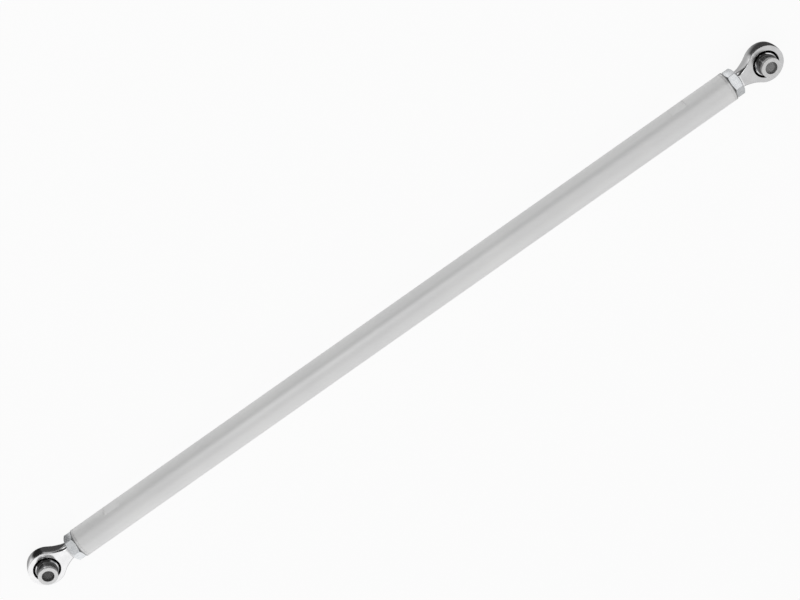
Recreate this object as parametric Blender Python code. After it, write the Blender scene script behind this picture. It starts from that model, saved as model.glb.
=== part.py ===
"""Adjustable tie rod: an aluminium tube with a lined spherical rod end at each end.

Frame (metres): the origin is midway between the two ball centres, +X runs along the tube,
+Z runs along the bolt bores. The link lies on the outer faces of its lower spacers.
"""
import math

import bmesh
import bpy
from mathutils import Matrix

# Positions along the tube, measured from the middle of the link
BALL_X = 0.4486
TUBE_END_X = 0.4033
FLANGE_X = (0.4036, 0.4068)
NUT_X = (0.4071, 0.4172)
NECK_X = 0.4175
SHANK_END_X = 0.3819
INSERT_END_X = 0.3656

# Tube and its wrench flats
TUBE_R = 0.015875
TUBE_BORE_R = 0.0127
FLAT_CENTRES_X = (-0.3560, 0.3495)
FLAT_LENGTH = 0.0190
FLAT_HEIGHT = 0.01375

# Threaded insert, jam nut and shank (5/8 in thread, 18 turns per inch)
INSERT_R = 0.0124
THREAD_R = 0.0079375
THREAD_BORE_R = 0.0082375
NUT_ACROSS_FLATS = 0.0264

# Rod-end head
HEAD_R = 0.0199
HEAD_HALF = 0.0069
NECK_R = 0.0092
FILLET_R = 0.0270
RAMP_LENGTH = 0.0024
RAMP_SLOPE = 0.25
OPENING_R = 0.0143
LIP_R = 0.0137
LIP_Z = 0.0053
GROOVE_R = 0.0169

# Bearing inside the head
BALL_R = 0.0142875
BALL_HALF = 0.0095
BALL_BORE_R = 0.0079375
LINER_R = (0.0145875, 0.0149875)
LINER_HALF = 0.0048
RACE_BORE_R = 0.0152875
RACE_R = 0.0166
RACE_HALF = 0.0050

# Misalignment spacers
SPACER_FACE_Z = 0.0197
SPACER_R = 0.01035
SPACER_RIM_Z = 0.0158
SPACER_NECK_R = 0.0084
SPACER_SEAT_Z = 0.0098
SLEEVE_R = 0.0076375
SLEEVE_END_Z = 0.0003
BOLT_R = 0.00635

SEGMENTS = 32
AXIS_X = Matrix.Rotation(math.pi / 2, 4, "Y")


def clear_scene():
    for obj in list(bpy.data.objects):
        bpy.data.objects.remove(obj, do_unlink=True)


def make_material(name, colour, roughness, metallic):
    material = bpy.data.materials.new(name)
    material.use_nodes = True
    shader = material.node_tree.nodes["Principled BSDF"]
    shader.inputs["Base Color"].default_value = (*colour, 1.0)
    shader.inputs["Roughness"].default_value = roughness
    shader.inputs["Metallic"].default_value = metallic
    return material


def make_object(name, bm, material=None):
    bmesh.ops.remove_doubles(bm, verts=bm.verts, dist=1e-6)
    bmesh.ops.recalc_face_normals(bm, faces=bm.faces)
    mesh = bpy.data.meshes.new(name)
    bm.to_mesh(mesh)
    bm.free()
    obj = bpy.data.objects.new(name, mesh)
    bpy.context.scene.collection.objects.link(obj)
    if material is not None:
        mesh.materials.append(material)
    return obj


def revolve(profile, segments=SEGMENTS, closed=True, axis_x=False):
    """Turn (radius, height) points about Z, or about X; an open profile starts and ends on the axis."""
    bm = bmesh.new()
    rows = []
    for radius, height in profile:
        if radius < 1e-9:
            rows.append([bm.verts.new((0.0, 0.0, height))] * segments)
            continue
        angles = [2 * math.pi * i / segments for i in range(segments)]
        rows.append([bm.verts.new((radius * math.cos(a), radius * math.sin(a), height)) for a in angles])
    pairs = list(zip(rows, rows[1:]))
    if closed:
        pairs.append((rows[-1], rows[0]))
    for low, high in pairs:
        for i in range(segments):
            j = (i + 1) % segments
            corners = [low[i], low[j], high[j], high[i]]
            loop = [v for k, v in enumerate(corners) if v not in corners[:k]]
            bm.faces.new(loop)
    if axis_x:
        bmesh.ops.transform(bm, matrix=AXIS_X, verts=bm.verts)
    return bm


def box(size, centre):
    bm = bmesh.new()
    bmesh.ops.create_cube(bm, size=1.0)
    bmesh.ops.scale(bm, vec=size, verts=bm.verts)
    bmesh.ops.translate(bm, vec=centre, verts=bm.verts)
    return bm


def prism(outline, half, chamfer=0.0):
    """Extrude a flat outline from -half to +half along Z, with chamfered rims."""
    bm = bmesh.new()
    base = bm.faces.new([bm.verts.new((x, y, -half)) for x, y in outline])
    raised = bmesh.ops.extrude_face_region(bm, geom=[base])
    top = [v for v in raised["geom"] if isinstance(v, bmesh.types.BMVert)]
    bmesh.ops.translate(bm, vec=(0, 0, 2 * half), verts=top)
    bmesh.ops.recalc_face_normals(bm, faces=bm.faces)
    if chamfer > 0.0:
        rims = [e for e in bm.edges if abs(abs(e.verts[0].co.z + e.verts[1].co.z) - 2 * half) < 1e-9]
        bmesh.ops.bevel(bm, geom=rims, offset=chamfer, segments=1, affect="EDGES")
    return bm


def combine(obj, operation, bm):
    """Apply an exact Boolean with a temporary cutter."""
    cutter = make_object("cutter", bm)
    cutter.hide_render = True
    cutter.display_type = "WIRE"
    modifier = obj.modifiers.new("cut", "BOOLEAN")
    modifier.operation = operation
    modifier.solver = "EXACT"
    modifier.object = cutter
    depsgraph = bpy.context.evaluated_depsgraph_get()
    result = bpy.data.meshes.new_from_object(obj.evaluated_get(depsgraph))
    obj.modifiers.remove(modifier)
    obj.data = result
    bpy.data.objects.remove(cutter, do_unlink=True)


def shade(obj, angle=32):
    for other in bpy.context.selected_objects:
        other.select_set(False)
    obj.select_set(True)
    bpy.context.view_layer.objects.active = obj
    bpy.ops.object.shade_smooth()
    obj.data.set_sharp_from_angle(angle=math.radians(angle))


def place(obj, x, turn=(0.0, 0.0, 0.0)):
    obj.location = (x, 0.0, 0.0)
    obj.rotation_euler = turn
    shade(obj)
    return obj


def arc(centre, radius, start, end, steps):
    angles = [start + (end - start) * i / steps for i in range(steps + 1)]
    return [(centre[0] + radius * math.cos(a), centre[1] + radius * math.sin(a)) for a in angles]


def build_tube(material):
    chamfer = 0.0003
    profile = [
        (TUBE_R, -TUBE_END_X + chamfer),
        (TUBE_R, TUBE_END_X - chamfer),
        (TUBE_R - chamfer, TUBE_END_X),
        (TUBE_BORE_R, TUBE_END_X),
        (TUBE_BORE_R, -TUBE_END_X),
        (TUBE_R - chamfer, -TUBE_END_X),
    ]
    tube = make_object("link_tube", revolve(profile, axis_x=True), material)
    depth = 0.01
    for centre in FLAT_CENTRES_X:
        for side in (-1, 1):
            block = box((FLAT_LENGTH, depth, 0.04), (centre, side * (FLAT_HEIGHT + depth / 2), 0.0))
            combine(tube, "DIFFERENCE", block)
    return place(tube, 0.0)


def build_insert(name, side, material):
    """Plug pressed into the tube end, with a flange as wide as the tube and a through thread."""
    chamfer = 0.0005
    inner, outer = INSERT_END_X, FLANGE_X[1]
    profile = [
        (THREAD_BORE_R, inner),
        (INSERT_R - chamfer, inner),
        (INSERT_R, inner + chamfer),
        (INSERT_R, FLANGE_X[0]),
        (TUBE_R - chamfer, FLANGE_X[0]),
        (TUBE_R, FLANGE_X[0] + chamfer),
        (TUBE_R, outer - chamfer),
        (TUBE_R - chamfer, outer),
        (THREAD_BORE_R + chamfer, outer),
        (THREAD_BORE_R, outer - chamfer),
    ]
    local = [(r, h - outer) for r, h in profile]
    insert = make_object(name, revolve(local, axis_x=True), material)
    return place(insert, side * outer, end_turn(side))


def build_nut(name, side, material):
    """Hexagon with one corner pointing along the bolt bore and both faces chamfered."""
    half = (NUT_X[1] - NUT_X[0]) / 2
    corner = NUT_ACROSS_FLATS / 2 / math.cos(math.pi / 6)
    outline = arc((0.0, 0.0), corner, 0.0, 2 * math.pi * 5 / 6, 5)
    nut = make_object(name, turned(prism(outline, half)), material)
    face_r = NUT_ACROSS_FLATS / 2 - 0.0004
    drop = (corner + 0.0004 - face_r) * math.tan(math.radians(30))
    outside = [
        (0.0, -half),
        (face_r, -half),
        (corner + 0.0004, -half + drop),
        (corner + 0.0004, half - drop),
        (face_r, half),
        (0.0, half),
    ]
    combine(nut, "INTERSECT", revolve(outside, closed=False, axis_x=True))
    sink = THREAD_BORE_R + 0.0008
    bore = [
        (0.0, -half - 0.001),
        (sink + 0.001, -half - 0.001),
        (THREAD_BORE_R, -half + 0.0008),
        (THREAD_BORE_R, half - 0.0008),
        (sink + 0.001, half + 0.001),
        (0.0, half + 0.001),
    ]
    combine(nut, "DIFFERENCE", revolve(bore, closed=False, axis_x=True))
    return place(nut, side * (NUT_X[0] + half), end_turn(side))


def turned(bm):
    bmesh.ops.transform(bm, matrix=AXIS_X, verts=bm.verts)
    return bm


def end_turn(side):
    """Both ends share one shape; the -X end is turned half way round about Z."""
    return (0.0, 0.0, 0.0 if side > 0 else math.pi)


def head_outline():
    """Round head that runs through two hollow fillets into a straight neck, about the ball centre."""
    neck_x = NECK_X - BALL_X
    fillet_y = NECK_R + FILLET_R
    fillet_x = -math.sqrt((HEAD_R + FILLET_R) ** 2 - fillet_y ** 2)
    meet = math.atan2(fillet_y, fillet_x)
    round_part = arc((0.0, 0.0), HEAD_R, -meet, meet, 36)
    upper = arc((fillet_x, fillet_y), FILLET_R, meet - math.pi, -math.pi / 2, 8)[1:]
    upper = [p for p in upper if p[0] > neck_x + 0.0004] + [(neck_x, NECK_R)]
    lower = [(x, -y) for x, y in reversed(upper)]
    return round_part + upper + lower


def head_envelope():
    """Body of revolution about the neck axis that rounds the neck into the shank."""
    neck_x = NECK_X - BALL_X
    chamfer = 0.0006
    points = [(0.0, neck_x), (NECK_R - chamfer, neck_x), (NECK_R, neck_x + chamfer)]
    steps = ((-0.0288, 0.0093), (-0.0262, 0.0098), (-0.0236, 0.0106), (-0.0210, 0.0116), (-0.0185, 0.0127))
    points += [(radius, x) for x, radius in steps]
    points += [(0.0139, -0.0160), (0.0163, -0.0135), (0.0195, -0.0110), (0.0240, -0.0080)]
    points += [(0.0300, -0.0040), (0.0300, 0.0300), (0.0, 0.0300)]
    return points


def neck_wedge():
    """Block whose sloping top and bottom lower both flats over the last stretch before the nut."""
    start = NECK_X - BALL_X
    ends = [(x, HEAD_HALF + RAMP_SLOPE * (x - start - RAMP_LENGTH)) for x in (start - 0.001, 0.030)]
    outline = [(x, -z) for x, z in ends] + [(x, z) for x, z in reversed(ends)]
    bm = prism(outline, 0.030)
    bmesh.ops.transform(bm, matrix=Matrix.Rotation(math.pi / 2, 4, "X"), verts=bm.verts)
    return bm


def build_rod_end(name, side, material):
    body = make_object(name, prism(head_outline(), HEAD_HALF, chamfer=0.0005), material)
    combine(body, "INTERSECT", revolve(head_envelope(), closed=False, axis_x=True))
    combine(body, "INTERSECT", neck_wedge())
    tip = SHANK_END_X - BALL_X
    root = NECK_X - BALL_X
    shank = [
        (0.0, tip),
        (THREAD_R - 0.001, tip),
        (THREAD_R, tip + 0.001),
        (THREAD_R, root - 0.0008),
        (HEAD_HALF - 0.0009, root + 0.0012),
        (0.0, root + 0.0012),
    ]
    combine(body, "UNION", revolve(shank, segments=32, closed=False, axis_x=True))
    through = HEAD_HALF + 0.002
    flare = OPENING_R + (OPENING_R - LIP_R) * 0.002 / (HEAD_HALF - LIP_Z)
    cutter = [
        (0.0, -through),
        (flare, -through),
        (LIP_R, -LIP_Z),
        (GROOVE_R, -LIP_Z),
        (GROOVE_R, LIP_Z),
        (LIP_R, LIP_Z),
        (flare, through),
        (0.0, through),
    ]
    combine(body, "DIFFERENCE", revolve(cutter, closed=False))
    return place(body, side * BALL_X, end_turn(side))


def bowl(radius, half, steps):
    """Points of a hollow spherical band from +half down to -half."""
    top = math.asin(half / radius)
    angles = [top - 2 * top * i / steps for i in range(steps + 1)]
    return [(radius * math.cos(a), radius * math.sin(a)) for a in angles]


def build_race(name, side, material):
    profile = bowl(RACE_BORE_R, RACE_HALF, 5)
    profile += [(RACE_R - 0.0003, -RACE_HALF), (RACE_R, -RACE_HALF + 0.0003)]
    profile += [(RACE_R, RACE_HALF - 0.0003), (RACE_R - 0.0003, RACE_HALF)]
    race = make_object(name, revolve(profile), material)
    return place(race, side * BALL_X, end_turn(side))


def build_liner(name, side, material):
    inner, outer = LINER_R
    profile = bowl(inner, LINER_HALF, 4) + list(reversed(bowl(outer, LINER_HALF, 4)))
    liner = make_object(name, revolve(profile), material)
    return place(liner, side * BALL_X, end_turn(side))


def build_ball(name, side, material):
    """Truncated ball with a cylindrical bore and eased bore edges."""
    ease = 0.0006
    profile = list(reversed(bowl(BALL_R, BALL_HALF, 10)))
    profile += [(BALL_BORE_R + ease, BALL_HALF), (BALL_BORE_R, BALL_HALF - ease)]
    profile += [(BALL_BORE_R, -BALL_HALF + ease), (BALL_BORE_R + ease, -BALL_HALF)]
    ball = make_object(name, revolve(profile), material)
    return place(ball, side * BALL_X, end_turn(side))


def build_spacer(name, side, up, material):
    """Flanged sleeve that seats on the ball, reduces its bore and stands off the bracket."""
    ease = 0.0004
    profile = [
        (BOLT_R, SLEEVE_END_Z),
        (SLEEVE_R, SLEEVE_END_Z),
        (SLEEVE_R, SPACER_SEAT_Z),
        (SPACER_NECK_R, SPACER_SEAT_Z),
        (SPACER_NECK_R, SPACER_SEAT_Z + 0.0022),
        (SPACER_R, SPACER_RIM_Z),
        (SPACER_R, SPACER_FACE_Z - ease),
        (SPACER_R - ease, SPACER_FACE_Z),
        (BOLT_R + ease, SPACER_FACE_Z),
        (BOLT_R, SPACER_FACE_Z - ease),
    ]
    spacer = make_object(name, revolve(profile), material)
    turn = (0.0 if up else math.pi, 0.0, 0.0)
    return place(spacer, side * BALL_X, turn)


def build_materials():
    return {
        "tube": make_material("satin_aluminium", (0.66, 0.66, 0.66), 0.34, 1.0),
        "insert": make_material("turned_aluminium", (0.62, 0.62, 0.62), 0.30, 1.0),
        "nut": make_material("zinc_steel", (0.66, 0.69, 0.72), 0.30, 1.0),
        "body": make_material("chromed_steel", (0.62, 0.62, 0.63), 0.16, 1.0),
        "race": make_material("race_steel", (0.30, 0.30, 0.31), 0.30, 1.0),
        "liner": make_material("liner_fabric", (0.05, 0.045, 0.04), 0.70, 0.0),
        "ball": make_material("polished_steel", (0.60, 0.60, 0.60), 0.06, 1.0),
        "spacer": make_material("plated_steel", (0.72, 0.72, 0.72), 0.24, 1.0),
    }


def main():
    clear_scene()
    materials = build_materials()
    build_tube(materials["tube"])
    for end, side in (("left", -1), ("right", 1)):
        build_insert("threaded_insert_" + end, side, materials["insert"])
        build_nut("jam_nut_" + end, side, materials["nut"])
        build_rod_end("rod_end_body_" + end, side, materials["body"])
        build_race("bearing_race_" + end, side, materials["race"])
        build_liner("race_liner_" + end, side, materials["liner"])
        build_ball("ball_" + end, side, materials["ball"])
        build_spacer("spacer_upper_" + end, side, True, materials["spacer"])
        build_spacer("spacer_lower_" + end, side, False, materials["spacer"])


main()
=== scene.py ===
import math

import bmesh
import bpy
from mathutils import Matrix, Vector


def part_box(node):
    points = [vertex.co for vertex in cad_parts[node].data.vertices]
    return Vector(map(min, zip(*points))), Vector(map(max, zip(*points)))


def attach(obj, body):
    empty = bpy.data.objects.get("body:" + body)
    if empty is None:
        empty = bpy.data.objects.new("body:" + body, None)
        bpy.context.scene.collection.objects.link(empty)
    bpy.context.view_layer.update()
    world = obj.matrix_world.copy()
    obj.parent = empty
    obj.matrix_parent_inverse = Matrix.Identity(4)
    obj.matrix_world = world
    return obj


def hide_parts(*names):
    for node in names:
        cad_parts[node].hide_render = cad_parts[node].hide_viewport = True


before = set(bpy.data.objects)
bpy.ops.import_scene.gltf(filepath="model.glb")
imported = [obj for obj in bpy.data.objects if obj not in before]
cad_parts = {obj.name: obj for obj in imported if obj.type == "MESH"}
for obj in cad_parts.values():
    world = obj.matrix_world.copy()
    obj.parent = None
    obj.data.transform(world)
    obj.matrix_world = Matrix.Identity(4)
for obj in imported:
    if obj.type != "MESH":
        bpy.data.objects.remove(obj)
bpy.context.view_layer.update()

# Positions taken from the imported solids, in metres
BALL_X = (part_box("ball_right")[0].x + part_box("ball_right")[1].x) / 2
BALL_R = (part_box("ball_right")[1].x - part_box("ball_right")[0].x) / 2
BALL_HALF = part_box("ball_right")[1].z
TUBE_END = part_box("link_tube")[1].x
TUBE_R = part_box("link_tube")[1].z
INSERT_X = (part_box("threaded_insert_right")[0].x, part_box("threaded_insert_right")[1].x)
NUT_X = (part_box("jam_nut_right")[0].x - BALL_X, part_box("jam_nut_right")[1].x - BALL_X)
NUT_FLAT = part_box("jam_nut_right")[1].y
SHANK_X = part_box("rod_end_body_right")[0].x - BALL_X
HEAD_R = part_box("rod_end_body_right")[1].x - BALL_X
RACE_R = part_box("bearing_race_right")[1].y
RACE_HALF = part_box("bearing_race_right")[1].z
LINER_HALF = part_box("race_liner_right")[1].z
FACE_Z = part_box("spacer_upper_right")[1].z
SPACER_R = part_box("spacer_upper_right")[1].y

# Sizes that a box can't give, as the solids have them
TUBE_BORE_R = 0.0127
FLAT_CENTRES = (-0.3560, 0.3495)
FLAT_HALF = 0.0095
FLAT_Y = 0.01375
PLUG_R = 0.0124
THREAD_R = 0.0079375
THREAD_BORE_R = 0.0082375
PITCH = 0.0254 / 18
HEAD_HALF = 0.0069
NECK_X = -0.0311
NECK_R = 0.0092
FILLET_R = 0.0270
RAMP_LENGTH = 0.0024
RAMP_SLOPE = 0.25
RIM_BARREL = 0.0005
OPENING_R = 0.0143
LIP_R = 0.0137
LIP_Z = 0.0053
GROOVE_R = 0.0169
RACE_BORE_R = 0.0152875
LINER_R = (0.0145875, 0.0149875)
BALL_BORE_R = 0.0079375
BOLT_R = 0.00635
SLEEVE_R = 0.0076375
SLEEVE_END_Z = 0.0003
SPACER_NECK_R = 0.0084
SPACER_SEAT_Z = 0.0098
SPACER_RIM_Z = 0.0158

# Heights at which painted shade begins and ends on the ball and the spacers, and the band of painted shade
# on the flange's edge beside the nut
BALL_SHADE_Z = (0.0073, 0.0079)
BALL_FLAT_SHADE_Z = (0.0087, 0.0091)
SPACER_RIM_SHADE_Z = (0.0135, 0.0150)
SPACER_FACE_Z = (FACE_Z - 0.0004, FACE_Z - 0.0002)
FLANGE_SHADE_X = (INSERT_X[1] - 0.0013, INSERT_X[1] - 0.0009)

# The camera's axes in the link's frame
RIGHT = Vector((0.8170, -0.5180, 0.2535)).normalized()
BACK = Vector((0.0447, 0.4951, 0.8677)).normalized()
UP = BACK.cross(RIGHT).normalized()


# ---------------------------------------------------------------- geometry

def rounded(points, steps=4, support=0.35, closed=True):
    """Round each (a, b, radius) corner of a polyline, with a support point beside every arc."""
    out = []
    count = len(points)
    for i, (a, b, radius) in enumerate(points):
        here = Vector((a, b))
        if radius <= 0 or (not closed and i in (0, count - 1)):
            out.append((a, b))
            continue
        before = Vector(points[i - 1][:2]) - here
        after = Vector(points[(i + 1) % count][:2]) - here
        angle = before.angle(after)
        cut = min(radius / math.tan(angle / 2), before.length * 0.45, after.length * 0.45)
        start = here + before.normalized() * cut
        end = here + after.normalized() * cut
        extra = min(cut * support, before.length * 0.04, after.length * 0.04)
        out.append(tuple(start + before.normalized() * extra))
        bend = math.pi - angle
        bulge = cut * math.tan(angle / 2)
        inward = (before.normalized() + after.normalized()).normalized()
        centre = here + inward * (bulge / math.sin(angle / 2))
        first = math.atan2(start.y - centre.y, start.x - centre.x)
        turn = math.atan2(end.y - centre.y, end.x - centre.x) - first
        turn = (turn + math.pi) % (2 * math.pi) - math.pi
        arcs = max(2, round(steps * bend / (math.pi / 2)))
        for k in range(arcs + 1):
            t = first + turn * k / arcs
            out.append((centre.x + bulge * math.cos(t), centre.y + bulge * math.sin(t)))
        out.append(tuple(end + after.normalized() * extra))
    return out


def grid(rings, closed=True):
    """Join equal rings of points; the last ring meets the first, or else both end rings get a cap."""
    bm = bmesh.new()
    rows = [[bm.verts.new(p) for p in ring] for ring in rings]
    pairs = list(zip(rows, rows[1:]))
    if closed:
        pairs.append((rows[-1], rows[0]))
    for low, high in pairs:
        for i in range(len(low)):
            j = (i + 1) % len(low)
            bm.faces.new((low[i], low[j], high[j], high[i]))
    if not closed:
        bm.faces.new(rows[0])
        bm.faces.new(rows[-1])
    return bm


def revolve(profile, segments=128):
    """Turn a closed (radius, height) profile about Z."""
    angles = [2 * math.pi * i / segments for i in range(segments)]
    rings = [[(r * math.cos(a), r * math.sin(a), h) for a in angles] for r, h in profile]
    return grid(rings)


def along_x(bm):
    bmesh.ops.transform(bm, matrix=Matrix.Rotation(math.pi / 2, 4, "Y"), verts=bm.verts)
    return bm


def finish_mesh(name, bm, matrix, body, nodes, material, sharp=None):
    """Make the piece, ride it on its body and let it stand for its solids."""
    bmesh.ops.transform(bm, matrix=matrix, verts=bm.verts)
    bmesh.ops.remove_doubles(bm, verts=bm.verts, dist=2e-7)
    bmesh.ops.recalc_face_normals(bm, faces=bm.faces)
    for face in bm.faces:
        face.smooth = True
    mesh = bpy.data.meshes.new(name)
    bm.to_mesh(mesh)
    bm.free()
    if sharp is not None:
        mesh.set_sharp_from_angle(angle=math.radians(sharp))
    mesh.materials.append(material)
    obj = bpy.data.objects.new(name, mesh)
    bpy.context.scene.collection.objects.link(obj)
    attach(obj, body)
    if nodes:
        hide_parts(*nodes)
    return obj


def end_matrix(side):
    """An end piece is modelled about its ball centre with +X pointing away from the tube."""
    turn = Matrix.Identity(4) if side > 0 else Matrix.Rotation(math.pi, 4, "Z")
    return Matrix.Translation((side * BALL_X, 0, 0)) @ turn


# ---------------------------------------------------------------- materials

class Nodes:
    """Short calls for building a procedural material."""

    def __init__(self, name):
        self.material = bpy.data.materials.new(name)
        self.material.use_nodes = True
        self.tree = self.material.node_tree
        self.shader = self.tree.nodes["Principled BSDF"]
        self.place = self.add("ShaderNodeTexCoord").outputs["Object"]

    def add(self, kind, **settings):
        node = self.tree.nodes.new(kind)
        for key, value in settings.items():
            setattr(node, key, value)
        return node

    def link(self, source, target):
        self.tree.links.new(source, target)

    def stretched(self, scale):
        node = self.add("ShaderNodeMapping")
        node.inputs["Scale"].default_value = scale
        self.link(self.place, node.inputs["Vector"])
        return node.outputs["Vector"]

    def noise(self, vector, scale, detail=3.0, rough=0.5):
        node = self.add("ShaderNodeTexNoise")
        node.inputs["Scale"].default_value = scale
        node.inputs["Detail"].default_value = detail
        node.inputs["Roughness"].default_value = rough
        self.link(vector, node.inputs["Vector"])
        return node.outputs["Fac"]

    def ramp(self, fac, low, high, start=0.3, end=0.7):
        node = self.add("ShaderNodeValToRGB")
        node.color_ramp.elements[0].position = start
        node.color_ramp.elements[1].position = end
        node.color_ramp.elements[0].color = (*low, 1)
        node.color_ramp.elements[1].color = (*high, 1)
        self.link(fac, node.inputs["Fac"])
        return node.outputs["Color"]

    def spread(self, fac, low, high, start=0.25, end=0.75):
        node = self.add("ShaderNodeMapRange")
        for key, value in (("From Min", start), ("From Max", end), ("To Min", low), ("To Max", high)):
            node.inputs[key].default_value = value
        self.link(fac, node.inputs["Value"])
        return node.outputs["Result"]

    def axis_distance(self):
        """Distance from the nearer ball's own axis, the same for both ends."""
        split = self.add("ShaderNodeSeparateXYZ")
        self.link(self.place, split.inputs["Vector"])
        along = self.math("SUBTRACT", self.math("ABSOLUTE", split.outputs["X"]), BALL_X)
        joined = self.add("ShaderNodeCombineXYZ")
        self.link(along, joined.inputs["X"])
        self.link(split.outputs["Y"], joined.inputs["Y"])
        length = self.add("ShaderNodeVectorMath", operation="LENGTH")
        self.link(joined.outputs["Vector"], length.inputs[0])
        return length.outputs["Value"]

    def offset(self, axis):
        """Distance from the link's middle along one axis, the same on both sides."""
        split = self.add("ShaderNodeSeparateXYZ")
        self.link(self.place, split.inputs["Vector"])
        return self.math("ABSOLUTE", split.outputs[axis])

    def math(self, operation, *values):
        node = self.add("ShaderNodeMath", operation=operation)
        for value, socket in zip(values, node.inputs):
            if isinstance(value, (int, float)):
                socket.default_value = value
            else:
                self.link(value, socket)
        return node.outputs["Value"]

    def shade(self, colour, factor):
        """Darken a colour by a grey factor."""
        node = self.add("ShaderNodeVectorMath", operation="SCALE")
        self.link(colour, node.inputs[0])
        self.link(factor, node.inputs["Scale"])
        return node.outputs["Vector"]

    def bump(self, height, strength, distance):
        node = self.add("ShaderNodeBump")
        node.inputs["Strength"].default_value = strength
        node.inputs["Distance"].default_value = distance
        self.link(height, node.inputs["Height"])
        return node.outputs["Normal"]

    def set(self, **values):
        names = {"colour": "Base Color", "rough": "Roughness", "metal": "Metallic", "normal": "Normal"}
        for key, value in values.items():
            socket = self.shader.inputs[names[key]]
            if isinstance(value, (int, float)):
                socket.default_value = value
            else:
                self.link(value, socket)
        return self.material


def drawn_aluminium():
    """Satin aluminium tube with fine die lines along its length and soft cloudy wear."""
    n = Nodes("drawn_aluminium")
    lines = n.noise(n.stretched((3.0, 900.0, 900.0)), 1.0, 4.0, 0.6)
    cloud = n.noise(n.place, 14.0, 3.0)
    colour = n.ramp(cloud, (0.76, 0.76, 0.76), (0.81, 0.81, 0.805))
    rough = n.spread(lines, 0.30, 0.42)
    normal = n.bump(lines, 0.10, 0.00004)
    return n.set(colour=colour, rough=rough, metal=0.13, normal=normal)


def turned_aluminium():
    """Lathe-turned flange with fine rings about the tube's axis and painted shade along its edge beside the
    nut.
    """
    n = Nodes("turned_aluminium")
    rings = n.noise(n.stretched((5000.0, 40.0, 40.0)), 1.0, 2.0)
    cloud = n.noise(n.place, 90.0, 3.0)
    colour = n.ramp(cloud, (0.68, 0.68, 0.68), (0.76, 0.76, 0.76))
    # Painted shade: darkened to 0.35 along the edge beside the nut, where the gap to the nut lies in shade.
    colour = n.shade(colour, n.spread(n.offset("X"), 1.0, 0.35, *FLANGE_SHADE_X))
    rough = n.spread(rings, 0.28, 0.42)
    normal = n.bump(rings, 0.15, 0.00003)
    return n.set(colour=colour, rough=rough, metal=0.35, normal=normal)


def zinc_plate():
    """Bright zinc over machined hexagon flats, slightly blue and mottled."""
    n = Nodes("zinc_plate")
    cloud = n.noise(n.place, 260.0, 4.0, 0.6)
    grain = n.noise(n.stretched((300.0, 2600.0, 2600.0)), 1.0, 3.0)
    colour = n.ramp(cloud, (0.70, 0.72, 0.74), (0.85, 0.865, 0.88), 0.32, 0.68)
    rough = n.spread(grain, 0.16, 0.34)
    normal = n.bump(cloud, 0.22, 0.00012)
    return n.set(colour=colour, rough=rough, metal=0.72, normal=normal)


def head_chrome():
    """Polished chrome on the forged head with faint buffing marks and painted shade inside its opening."""
    n = Nodes("head_chrome")
    marks = n.noise(n.stretched((240.0, 240.0, 1800.0)), 1.0, 3.0)
    cloud = n.noise(n.place, 120.0, 3.0)
    colour = n.ramp(cloud, (0.72, 0.72, 0.725), (0.80, 0.80, 0.805))
    # Painted shade: the head is darkened to a tenth inside its opening, where the bore lies in shade.
    bore = n.spread(n.axis_distance(), 0.10, 1.0, OPENING_R - 0.0001, OPENING_R + 0.0001)
    colour = n.shade(colour, bore)
    rough = n.spread(marks, 0.10, 0.18)
    normal = n.bump(marks, 0.05, 0.00003)
    return n.set(colour=colour, rough=rough, metal=1.0, normal=normal)


def thread_steel():
    """Rolled thread, greyer than the head."""
    n = Nodes("thread_steel")
    cloud = n.noise(n.place, 420.0, 3.0)
    colour = n.ramp(cloud, (0.42, 0.42, 0.43), (0.62, 0.62, 0.63))
    return n.set(colour=colour, rough=n.spread(cloud, 0.22, 0.36), metal=1.0)


def race_steel():
    """Dark ground steel with rings about the bore."""
    n = Nodes("race_steel")
    rings = n.noise(n.stretched((120.0, 120.0, 5000.0)), 1.0, 2.0)
    colour = n.ramp(rings, (0.20, 0.20, 0.205), (0.32, 0.32, 0.325))
    return n.set(colour=colour, rough=n.spread(rings, 0.25, 0.42), metal=1.0)


def liner_fabric():
    """Woven bearing liner, nearly black."""
    n = Nodes("liner_fabric")
    weave = n.noise(n.place, 2600.0, 2.0)
    colour = n.ramp(weave, (0.025, 0.022, 0.02), (0.075, 0.068, 0.06))
    rough = n.spread(weave, 0.6, 0.85)
    normal = n.bump(weave, 0.4, 0.00006)
    return n.set(colour=colour, rough=rough, metal=0.0, normal=normal)


def mirror_steel():
    """Lapped ball with painted shade beside the race and on its flats, leaving a mirror bright band
    between.
    """
    n = Nodes("mirror_steel")
    marks = n.noise(n.stretched((60.0, 60.0, 2400.0)), 1.0, 3.0)
    colour = n.ramp(marks, (0.72, 0.72, 0.725), (0.82, 0.82, 0.825))
    # Painted shade: the ball is dark below its bright band and on its flats, where it lies in shade beside
    # the race and under the spacers.
    inner = n.spread(n.offset("Z"), 0.05, 0.85, *BALL_SHADE_Z)
    outer = n.spread(n.offset("Z"), 1.0, 0.15, *BALL_FLAT_SHADE_Z)
    colour = n.shade(colour, n.math("MULTIPLY", inner, outer))
    return n.set(colour=colour, rough=n.spread(marks, 0.035, 0.075), metal=1.0)


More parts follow.
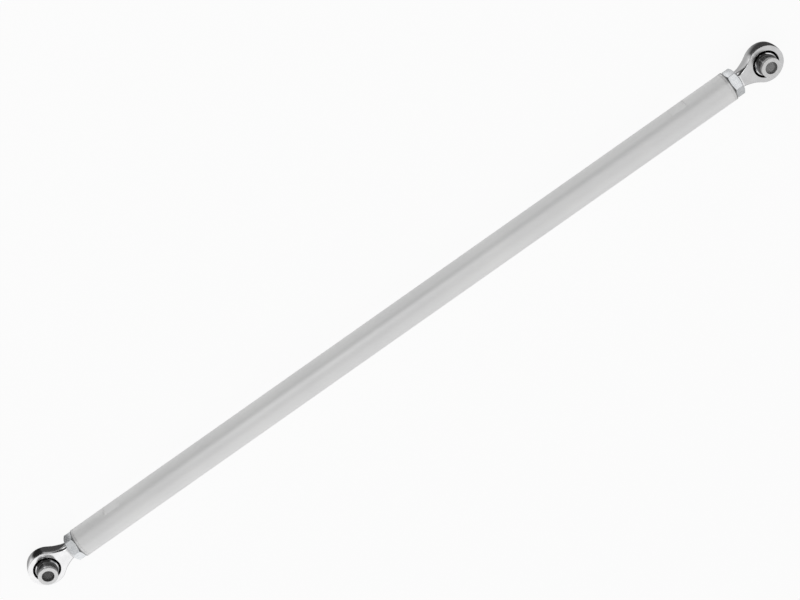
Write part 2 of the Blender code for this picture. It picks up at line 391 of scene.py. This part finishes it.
def bright_plate():
    """Turned spacer with tool rings, bright at its neck, darkened at its rim by painted shade, and satin on
    its face.
    """
    n = Nodes("bright_plate")
    rings = n.noise(n.stretched((40.0, 40.0, 3600.0)), 1.0, 2.0)
    cloud = n.noise(n.place, 300.0, 3.0)
    colour = n.ramp(cloud, (0.86, 0.86, 0.86), (0.94, 0.94, 0.94))
    # Painted shade: the rim is darkened to 0.45 above the neck; the face is a satin finish.
    side = n.spread(n.offset("Z"), 1.0, 0.45, *SPACER_RIM_SHADE_Z)
    face = n.spread(n.offset("Z"), 0.0, 1.0, *SPACER_FACE_Z)
    colour = n.shade(colour, n.math("MAXIMUM", side, n.math("MULTIPLY", face, 0.80)))
    metal = n.math("SUBTRACT", 1.0, n.math("MULTIPLY", face, 0.75))
    rough = n.spread(rings, 0.20, 0.34)
    normal = n.bump(cloud, 0.03, 0.00003)
    return n.set(colour=colour, rough=rough, metal=metal, normal=normal)


# ---------------------------------------------------------------- pieces

def make_tube(material):
    """Tube whose rings drop to a flat wherever a wrench flat is milled."""
    segments = 144
    ease = 0.00015
    shoulder = 0.00012
    stations = [(-TUBE_END, TUBE_R - ease), (-TUBE_END + ease * 0.3, TUBE_R - ease * 0.3)]
    stations += [(-TUBE_END + ease, TUBE_R), (-TUBE_END + ease * 2, TUBE_R)]
    for centre in FLAT_CENTRES:
        low, high = centre - FLAT_HALF, centre + FLAT_HALF
        stations += [(low - 0.0006, TUBE_R), (low - shoulder, TUBE_R), (low + shoulder, -TUBE_R)]
        stations += [(low + 0.0006, -TUBE_R), (high - 0.0006, -TUBE_R), (high - shoulder, -TUBE_R)]
        stations += [(high + shoulder, TUBE_R), (high + 0.0006, TUBE_R)]
    stations += [(x, r) for x, r in ((-0.2, TUBE_R), (0.0, TUBE_R), (0.2, TUBE_R))]
    stations += [(TUBE_END - ease * 2, TUBE_R), (TUBE_END - ease, TUBE_R)]
    stations += [(TUBE_END - ease * 0.3, TUBE_R - ease * 0.3), (TUBE_END, TUBE_R - ease)]
    stations.sort(key=lambda s: s[0])
    rings = []
    for x, radius in stations:
        ring = []
        for i in range(segments):
            a = 2 * math.pi * i / segments
            y, z = abs(radius) * math.cos(a), abs(radius) * math.sin(a)
            if radius < 0:
                y = max(-FLAT_Y, min(FLAT_Y, y))
            ring.append((x, y, z))
        rings.append(ring)
    for x in (TUBE_END, -TUBE_END):
        angles = [2 * math.pi * i / segments for i in range(segments)]
        rings.append([(x, TUBE_BORE_R * math.cos(a), TUBE_BORE_R * math.sin(a)) for a in angles])
    return finish_mesh("tube", grid(rings), Matrix.Identity(4), "link", ["link_tube"], material, 24)


def make_insert(name, side, material):
    inner, outer = INSERT_X[0] - BALL_X, INSERT_X[1] - BALL_X
    back = TUBE_END - BALL_X + 0.00005
    profile = rounded([
        (THREAD_BORE_R, inner, 0.0002),
        (PLUG_R, inner, 0.0006),
        (PLUG_R, back, 0.0001),
        (TUBE_R, back, 0.00012),
        (TUBE_R, outer, 0.0005),
        (THREAD_BORE_R, outer, 0.0006),
    ], steps=5)
    bm = along_x(revolve(profile, 144))
    return finish_mesh(name, bm, end_matrix(side), "link", ["threaded_" + name], material, 40)


def nut_outline():
    """Hexagon about X with eased corners, one corner on the Z axis; (angle, radius) pairs."""
    corners = []
    radius = NUT_FLAT / math.cos(math.pi / 6)
    for k in range(6):
        a = math.pi / 3 * k
        corners.append((radius * math.cos(a), radius * math.sin(a), 0.0007))
    points = rounded(corners, steps=12, support=0.3)
    dense = []
    for p, q in zip(points, points[1:] + points[:1]):
        gap = math.hypot(q[0] - p[0], q[1] - p[1])
        parts = 12 if gap > 0.004 else 1
        steps = [i / parts for i in range(parts)]
        dense += [(p[0] + (q[0] - p[0]) * t, p[1] + (q[1] - p[1]) * t) for t in steps]
    return dense


def make_nut(name, side, material):
    """Hexagon whose corners are cut back by a cone at both faces."""
    low, high = NUT_X
    face_r = NUT_FLAT - 0.0004
    columns = []
    for y, z in nut_outline():
        reach = math.hypot(y, z)
        drop = (reach - face_r) * math.tan(math.radians(30))
        profile = rounded([
            (THREAD_BORE_R, low + 0.0009, 0.0001),
            (THREAD_BORE_R + 0.0009, low, 0.0001),
            (face_r, low, 0.0004),
            (reach, low + drop, 0.0005),
            (reach, high - drop, 0.0005),
            (face_r, high, 0.0004),
            (THREAD_BORE_R + 0.0009, high, 0.0001),
            (THREAD_BORE_R, high - 0.0009, 0.0001),
        ], steps=6)
        columns.append([(x, y / reach * r, z / reach * r) for r, x in profile])
    count = min(len(c) for c in columns)
    columns = [c[:count] for c in columns]
    bm = grid(columns)
    quarter = Matrix.Rotation(math.pi / 2, 4, "X")
    return finish_mesh(name, bm, end_matrix(side) @ quarter, "nut_" + name.split("_")[-1],
                       [name.replace("nut", "jam_nut")], material, 40)


def envelope(x):
    """Radius of the turned body about the neck axis, at x from the ball centre."""
    points = (
        (NECK_X, NECK_R - 0.0006), (NECK_X + 0.0006, NECK_R), (-0.0288, 0.0093), (-0.0262, 0.0098),
        (-0.0236, 0.0106), (-0.0210, 0.0116), (-0.0185, 0.0127), (-0.0160, 0.0139), (-0.0135, 0.0163),
        (-0.0110, 0.0195), (-0.0080, 0.0240), (-0.0040, 0.0300), (0.03, 0.0300),
    )
    if x <= points[0][0]:
        return points[0][1]
    for (x0, r0), (x1, r1) in zip(points, points[1:]):
        if x <= x1:
            return r0 + (r1 - r0) * (x - x0) / (x1 - x0)
    return points[-1][1]


def outline_reach(phi):
    """Distance from the ball centre to the head's outline in direction phi."""
    fillet_y = NECK_R + FILLET_R
    fillet_x = -math.sqrt((HEAD_R + FILLET_R) ** 2 - fillet_y ** 2)
    meet = math.atan2(fillet_y, fillet_x)
    c, s = math.cos(phi), abs(math.sin(phi))
    if abs(phi) <= meet:
        return HEAD_R
    reach = NECK_X / c
    along = c * fillet_x + s * fillet_y
    inside = along ** 2 - (fillet_x ** 2 + fillet_y ** 2 - FILLET_R ** 2)
    if inside > 0:
        near = along - math.sqrt(inside)
        if near * c >= fillet_x:
            reach = min(reach, near)
    if s > 1e-9:
        straight = NECK_R / s
        if straight * c <= fillet_x:
            reach = min(reach, straight)
    return reach


def head_column(phi, count):
    """Section of the head in the half plane at phi, from the upper to the lower opening edge."""
    c, s = math.cos(phi), math.sin(phi)
    limit = outline_reach(phi)
    top = []
    dense = 500
    for i in range(dense + 1):
        t = i / dense
        reach = OPENING_R + (limit - OPENING_R) * math.sin(t * math.pi / 2)
        left = envelope(reach * c) ** 2 - (reach * s) ** 2
        if left <= 0:
            break
        ramp = HEAD_HALF + RAMP_SLOPE * (reach * c - NECK_X - RAMP_LENGTH)
        top.append((reach, min(HEAD_HALF, ramp, math.sqrt(left))))
    whole = resample(top + [(r, -z) for r, z in reversed(top)], 1400)
    barrel = [(min(r, limit - RIM_BARREL * (z / HEAD_HALF) ** 2), z) for r, z in whole]
    return resample(soften(resample(barrel, 1400), 0.00040), count)


def resample(points, count):
    lengths = [0.0]
    for p, q in zip(points, points[1:]):
        lengths.append(lengths[-1] + math.hypot(q[0] - p[0], q[1] - p[1]))
    out = []
    k = 0
    for i in range(count):
        want = lengths[-1] * i / (count - 1)
        while k < len(lengths) - 2 and lengths[k + 1] < want:
            k += 1
        span = lengths[k + 1] - lengths[k]
        t = (want - lengths[k]) / span if span > 0 else 0.0
        p, q = points[k], points[k + 1]
        out.append((p[0] + (q[0] - p[0]) * t, p[1] + (q[1] - p[1]) * t))
    return out


def soften(points, reach):
    """Moving average along an evenly spaced polyline, which rounds every corner alike."""
    step = math.hypot(points[1][0] - points[0][0], points[1][1] - points[0][1])
    half = max(1, round(reach / step))
    sums = [(0.0, 0.0)]
    for p in points:
        sums.append((sums[-1][0] + p[0], sums[-1][1] + p[1]))
    out = []
    last = len(points) - 1
    for i in range(len(points)):
        w = min(half, i, last - i)
        total = 2 * w + 1
        a, b = sums[i - w], sums[i + w + 1]
        out.append(((b[0] - a[0]) / total, (b[1] - a[1]) / total))
    return out


def head_angles():
    """Directions round the head, closer together over the fillets and the neck."""
    angles = [math.pi * i / 110 for i in range(0, 70)]
    start = math.pi * 70 / 110
    angles += [start + (math.pi - start) * i / 90 for i in range(0, 90)]
    angles.append(math.pi)
    return [-a for a in reversed(angles[1:-1])] + angles


def make_head(name, side, material):
    """Round flat-faced head, hollow fillets, round neck and the lipped bore that holds the race."""
    bore = rounded([
        (OPENING_R, -HEAD_HALF, 0.0),
        (LIP_R, -LIP_Z, 0.00015),
        (GROOVE_R, -LIP_Z, 0.0002),
        (GROOVE_R, LIP_Z, 0.0002),
        (LIP_R, LIP_Z, 0.00015),
        (OPENING_R, HEAD_HALF, 0.0),
    ], steps=3, closed=False)
    columns = []
    for phi in head_angles():
        section = head_column(phi, 110)
        section[0] = (section[0][0] + 0.00012, section[0][1])
        section[-1] = (section[-1][0] + 0.00012, section[-1][1])
        rim = [(OPENING_R, -HEAD_HALF + 0.00012)] + bore[1:-1] + [(OPENING_R, HEAD_HALF - 0.00012)]
        columns.append([(r * math.cos(phi), r * math.sin(phi), z) for r, z in section + rim])
    end = name.split("_")[-1]
    return finish_mesh(name, grid(columns), end_matrix(side), "rod_end_" + end,
                       ["rod_end_body_" + end], material, 40)


def make_thread(name, side, hand, material):
    """Helical thread of one hand on the shank, with a relief at the neck and a chamfered tip."""
    segments, per_pitch = 72, 12
    minor = THREAD_R - 0.0009
    start, end = SHANK_X, NECK_X + 0.0006
    rows = int((end - start) / PITCH * per_pitch)
    rings = []
    for k in range(rows + 1):
        x = start + (end - start) * k / rows
        ring = []
        for i in range(segments):
            a = 2 * math.pi * i / segments
            phase = (x / PITCH - hand * i / segments) % 1.0
            wave = min(1.0, max(0.0, abs(phase - 0.5) * 2.6 - 0.2))
            radius = minor + (THREAD_R - minor) * (1.0 - wave)
            tip = minor + max(0.0, x - start) * 0.9
            relief = minor + max(0.0, end - 0.0016 - x) * 1.2
            taper = 0.0060 + max(0.0, end - x) * 0.6
            radius = min(radius, tip, relief, taper)
            ring.append((x, radius * math.cos(a), radius * math.sin(a)))
        rings.append(ring)
    bm = grid(rings, closed=False)
    body = "rod_end_" + name.split("_")[-1]
    return finish_mesh(name, bm, end_matrix(side), body, [], material, 50)


def bowl(radius, half, steps):
    top = math.asin(half / radius)
    angles = [top - 2 * top * i / steps for i in range(steps + 1)]
    return [(radius * math.cos(a), radius * math.sin(a)) for a in angles]


def make_race(name, side, material):
    end = name.split("_")[-1]
    inner = bowl(RACE_BORE_R, RACE_HALF - 0.0001, 20)
    lip = inner[0][0] + 0.0001
    outer = rounded([
        (lip, -RACE_HALF, 0.0),
        (RACE_R, -RACE_HALF, 0.0004),
        (RACE_R, RACE_HALF, 0.0004),
        (lip, RACE_HALF, 0.0),
    ], closed=False)
    profile = inner + outer
    return finish_mesh(name, revolve(profile, 128), end_matrix(side), "rod_end_" + end,
                       ["bearing_race_" + end], material, 40)


def make_liner(name, side, material):
    end = name.split("_")[-1]
    profile = bowl(LINER_R[0], LINER_HALF, 20) + list(reversed(bowl(LINER_R[1], LINER_HALF, 20)))
    return finish_mesh(name, revolve(profile, 128), end_matrix(side), "rod_end_" + end,
                       ["race_liner_" + end], material, 40)


def make_ball(name, side, material):
    """Truncated ball: lapped sphere, two narrow flats and a bore with eased mouths."""
    flat_r = math.sqrt(BALL_R ** 2 - BALL_HALF ** 2)
    sphere = list(reversed(bowl(BALL_R, BALL_HALF - 0.00025, 56)))
    bore = rounded([
        (flat_r - 0.0001, BALL_HALF, 0.0),
        (BALL_BORE_R + 0.0006, BALL_HALF, 0.0002),
        (BALL_BORE_R, BALL_HALF - 0.0006, 0.0002),
        (BALL_BORE_R, -BALL_HALF + 0.0006, 0.0002),
        (BALL_BORE_R + 0.0006, -BALL_HALF, 0.0002),
        (flat_r - 0.0001, -BALL_HALF, 0.0),
    ], steps=4, closed=False)
    return finish_mesh(name + "_polished", revolve(sphere + bore, 160), end_matrix(side),
                       "bearing_" + name, [name], material, 50)


def make_spacer(name, side, up, material):
    """Flanged sleeve: clamped face, turned rim, hollow neck seated on the ball, and bored through."""
    profile = rounded([
        (BOLT_R, SLEEVE_END_Z, 0.0001),
        (SLEEVE_R, SLEEVE_END_Z, 0.0002),
        (SLEEVE_R, SPACER_SEAT_Z, 0.0001),
        (SPACER_NECK_R, SPACER_SEAT_Z, 0.0002),
        (SPACER_NECK_R, 0.0120, 0.0016),
        (SPACER_R, SPACER_RIM_Z, 0.0008),
        (SPACER_R, FACE_Z, 0.0004),
        (BOLT_R, FACE_Z, 0.0004),
    ], steps=6)
    flip = Matrix.Identity(4) if up else Matrix.Rotation(math.pi, 4, "X")
    bm = revolve(profile, 128)
    return finish_mesh(name + "_turned", bm, end_matrix(side) @ flip, "spacers_" + name.split("_")[-1],
                       [name], material, 40)


def make_object():
    make_tube(drawn_aluminium())
    looks = {
        "insert": turned_aluminium(), "nut": zinc_plate(), "head": head_chrome(), "thread": thread_steel(),
        "race": race_steel(), "liner": liner_fabric(), "ball": mirror_steel(), "spacer": bright_plate(),
    }
    for end, side in (("left", -1), ("right", 1)):
        make_insert("insert_" + end, side, looks["insert"])
        make_nut("nut_" + end, side, looks["nut"])
        make_head("head_" + end, side, looks["head"])
        make_thread("thread_" + end, side, side, looks["thread"])
        make_race("race_ring_" + end, side, looks["race"])
        make_liner("liner_ring_" + end, side, looks["liner"])
        make_ball("ball_" + end, side, looks["ball"])
        make_spacer("spacer_upper_" + end, side, True, looks["spacer"])
        make_spacer("spacer_lower_" + end, side, False, looks["spacer"])


# ---------------------------------------------------------------- studio

def studio_direction(right, up, back):
    return (RIGHT * right + UP * up + BACK * back).normalized()


# Grey levels that polished metal sees
ROOM_LEVEL = 0.60
TABLE_LEVEL = 0.62
HORIZON_LEVEL = 1.15
BACKDROP_LEVEL = 0.95

# Each zone: direction (right, up, towards the camera), inner and outer angle in degrees, grey level
ROOM_ZONES = (
    ((-0.30, 0.88, 0.35), 45, 68, 0.03),
    ((-0.93, 0.05, 0.36), 15, 40, 0.05),
    ((0.15, -0.98, 0.00), 25, 60, 1.25),
    ((0.72, -0.60, 0.05), 25, 45, 0.72),
    ((0.25, 0.10, 0.96), 10, 35, 1.05),
    ((-0.35, -0.25, 0.90), 8, 25, 0.62),
)

# The same, laid over the horizon and the table
LOW_ZONES = (
    ((0.70, -0.55, -0.50), 12, 30, 0.48),
    ((-0.78, 0.56, 0.27), 8, 16, 0.24),
    ((-0.82, 0.26, 0.51), 20, 28, 0.045),
    ((-0.09, 0.82, 0.57), 13, 24, 0.045),
)

# Each spot of painted reflection on a sheet: distance outwards from the ball, distance across, inner and
# outer radius, grey level
RIGHT_REFLECTION_SPOTS = (
    (0.004, 0.0, 0.044, 0.060, 0.055),
    (-0.012, 0.0, 0.020, 0.036, 0.52),
    (-0.030, 0.075, 0.030, 0.042, 0.25),
    (-0.028, 0.030, 0.004, 0.014, 0.60),
    (-0.037, 0.028, 0.003, 0.010, 1.20),
    (0.0, 0.0, 0.008, 0.014, 0.28),
)
LEFT_REFLECTION_SPOTS = (
    (0.045, 0.020, 0.030, 0.050, 0.95),
    (0.0, 0.036, 0.012, 0.026, 0.02),
    (-0.020, 0.024, 0.0105, 0.015, 0.07),
    (0.018, 0.010, 0.010, 0.022, 0.35),
    (-0.042, 0.085, 0.030, 0.045, 0.09),
    (0.0, 0.0, 0.010, 0.016, 0.13),
)


def smooth_mask(tree, value, start, end):
    mask = tree.nodes.new("ShaderNodeMapRange")
    mask.interpolation_type = "SMOOTHSTEP"
    mask.inputs["From Min"].default_value = start
    mask.inputs["From Max"].default_value = end
    tree.links.new(value, mask.inputs["Value"])
    return mask.outputs["Result"]


def mix_level(tree, under, over, mask):
    """Blend two grey levels, each a number or a socket."""
    mix = tree.nodes.new("ShaderNodeMix")
    for value, socket in ((under, "A"), (over, "B"), (mask, "Factor")):
        if isinstance(value, float):
            mix.inputs[socket].default_value = value
        else:
            tree.links.new(value, mix.inputs[socket])
    return mix.outputs["Result"]


def zone_mask(tree, view, direction, inner, outer):
    """Full within `inner` degrees of a direction in the camera's axes, nothing beyond `outer`."""
    dot = tree.nodes.new("ShaderNodeVectorMath")
    dot.operation = "DOT_PRODUCT"
    tree.links.new(view, dot.inputs[0])
    dot.inputs[1].default_value = studio_direction(*direction)
    cosines = [math.cos(math.radians(a)) for a in (outer, inner)]
    return smooth_mask(tree, dot.outputs["Value"], *cosines)


def make_world():
    """Dark room above a white table that runs to the horizon, with broad lights, and a plain backdrop."""
    world = bpy.data.worlds.new("studio")
    bpy.context.scene.world = world
    world.use_nodes = True
    tree = world.node_tree
    tree.nodes.clear()
    out = tree.nodes.new("ShaderNodeOutputWorld")
    view = tree.nodes.new("ShaderNodeTexCoord").outputs["Generated"]
    room = ROOM_LEVEL
    for direction, inner, outer, value in ROOM_ZONES:
        room = mix_level(tree, room, value, zone_mask(tree, view, direction, inner, outer))
    split = tree.nodes.new("ShaderNodeSeparateXYZ")
    tree.links.new(view, split.inputs["Vector"])
    height = split.outputs["Z"]
    level = mix_level(tree, TABLE_LEVEL, room, smooth_mask(tree, height, 0.0, 0.1))
    above = smooth_mask(tree, height, -0.32, -0.20)
    upper = mix_level(tree, HORIZON_LEVEL, level, smooth_mask(tree, height, 0.02, 0.14))
    level = mix_level(tree, level, upper, above)
    for direction, inner, outer, value in LOW_ZONES:
        level = mix_level(tree, level, value, zone_mask(tree, view, direction, inner, outer))
    tent = tree.nodes.new("ShaderNodeBackground")
    tent.inputs["Strength"].default_value = 1.0
    tree.links.new(level, tent.inputs["Color"])
    backdrop = tree.nodes.new("ShaderNodeBackground")
    backdrop.inputs["Color"].default_value = (BACKDROP_LEVEL, BACKDROP_LEVEL, BACKDROP_LEVEL, 1)
    path = tree.nodes.new("ShaderNodeLightPath")
    choose = tree.nodes.new("ShaderNodeMixShader")
    tree.links.new(path.outputs["Is Camera Ray"], choose.inputs["Fac"])
    tree.links.new(tent.outputs["Background"], choose.inputs[1])
    tree.links.new(backdrop.outputs["Background"], choose.inputs[2])
    tree.links.new(choose.outputs["Shader"], out.inputs["Surface"])


def make_sheet(name, side, spots):
    """Glowing sheet on the table under one head, seen only in polished metal; its round patches of grey are
    painted reflections of light and shade on the table.
    """
    bm = bmesh.new()
    bmesh.ops.create_grid(bm, x_segments=1, y_segments=1, size=0.11)
    mesh = bpy.data.meshes.new(name)
    bm.to_mesh(mesh)
    bm.free()
    sheet = bpy.data.objects.new(name, mesh)
    bpy.context.scene.collection.objects.link(sheet)
    sheet.location = (side * BALL_X, 0.0, -FACE_Z - 0.00005)
    sheet.visible_camera = False
    sheet.visible_diffuse = False
    sheet.visible_shadow = False
    material = bpy.data.materials.new(name)
    material.use_nodes = True
    tree = material.node_tree
    tree.nodes.clear()
    place = tree.nodes.new("ShaderNodeTexCoord").outputs["Object"]
    level = TABLE_LEVEL
    for x, y, inner, outer, value in spots:
        gap = tree.nodes.new("ShaderNodeVectorMath")
        gap.operation = "DISTANCE"
        tree.links.new(place, gap.inputs[0])
        gap.inputs[1].default_value = (side * x, y, 0.0)
        level = mix_level(tree, level, value, smooth_mask(tree, gap.outputs["Value"], outer, inner))
    glow = tree.nodes.new("ShaderNodeEmission")
    tree.links.new(level, glow.inputs["Color"])
    out = tree.nodes.new("ShaderNodeOutputMaterial")
    tree.links.new(glow.outputs["Emission"], out.inputs["Surface"])
    mesh.materials.append(material)


def make_floor():
    """Pale floor that the camera sees and that polished metal doesn't."""
    bm = bmesh.new()
    bmesh.ops.create_grid(bm, x_segments=2, y_segments=2, size=30.0)
    mesh = bpy.data.meshes.new("floor")
    bm.to_mesh(mesh)
    bm.free()
    floor = bpy.data.objects.new("floor", mesh)
    bpy.context.scene.collection.objects.link(floor)
    floor.location.z = -FACE_Z - 0.0001
    floor.visible_glossy = False
    material = bpy.data.materials.new("pale_floor")
    material.use_nodes = True
    shader = material.node_tree.nodes["Principled BSDF"]
    shader.inputs["Base Color"].default_value = (0.05, 0.05, 0.05, 1)
    shader.inputs["Roughness"].default_value = 1.0
    shader.inputs["Specular IOR Level"].default_value = 0.0
    shader.inputs["Emission Color"].default_value = (1, 1, 1, 1)
    shader.inputs["Emission Strength"].default_value = 0.93
    mesh.materials.append(material)


def make_light(name, direction, distance, size, power):
    """Soft rectangle that faces the object from a direction in the camera's axes."""
    data = bpy.data.lights.new(name, "AREA")
    data.shape = "RECTANGLE"
    data.size, data.size_y = size
    data.energy = power
    light = bpy.data.objects.new(name, data)
    bpy.context.scene.collection.objects.link(light)
    towards = studio_direction(*direction)
    light.location = towards * distance
    light.rotation_mode = "QUATERNION"
    light.rotation_quaternion = towards.to_track_quat("Z", "Y")
    light.visible_camera = False


def make_camera():
    data = bpy.data.cameras.new("camera")
    data.sensor_width = 36.0
    data.lens = 80.556
    data.clip_start, data.clip_end = 0.05, 100.0
    camera = bpy.data.objects.new("camera", data)
    bpy.context.scene.collection.objects.link(camera)
    turn = Matrix((RIGHT, UP, BACK)).transposed().to_4x4()
    camera.matrix_world = Matrix.Translation((0.09084, 0.91910, 1.58149)) @ turn
    bpy.context.scene.camera = camera


def main():
    make_object()
    make_world()
    make_floor()
    make_sheet("painted_reflection_right", 1, RIGHT_REFLECTION_SPOTS)
    make_sheet("painted_reflection_left", -1, LEFT_REFLECTION_SPOTS)
    make_light("key", (-0.30, 0.10, 0.95), 2.2, (0.5, 1.2), 4.0)
    make_camera()
    bpy.context.scene.view_settings.view_transform = "Standard"


main()
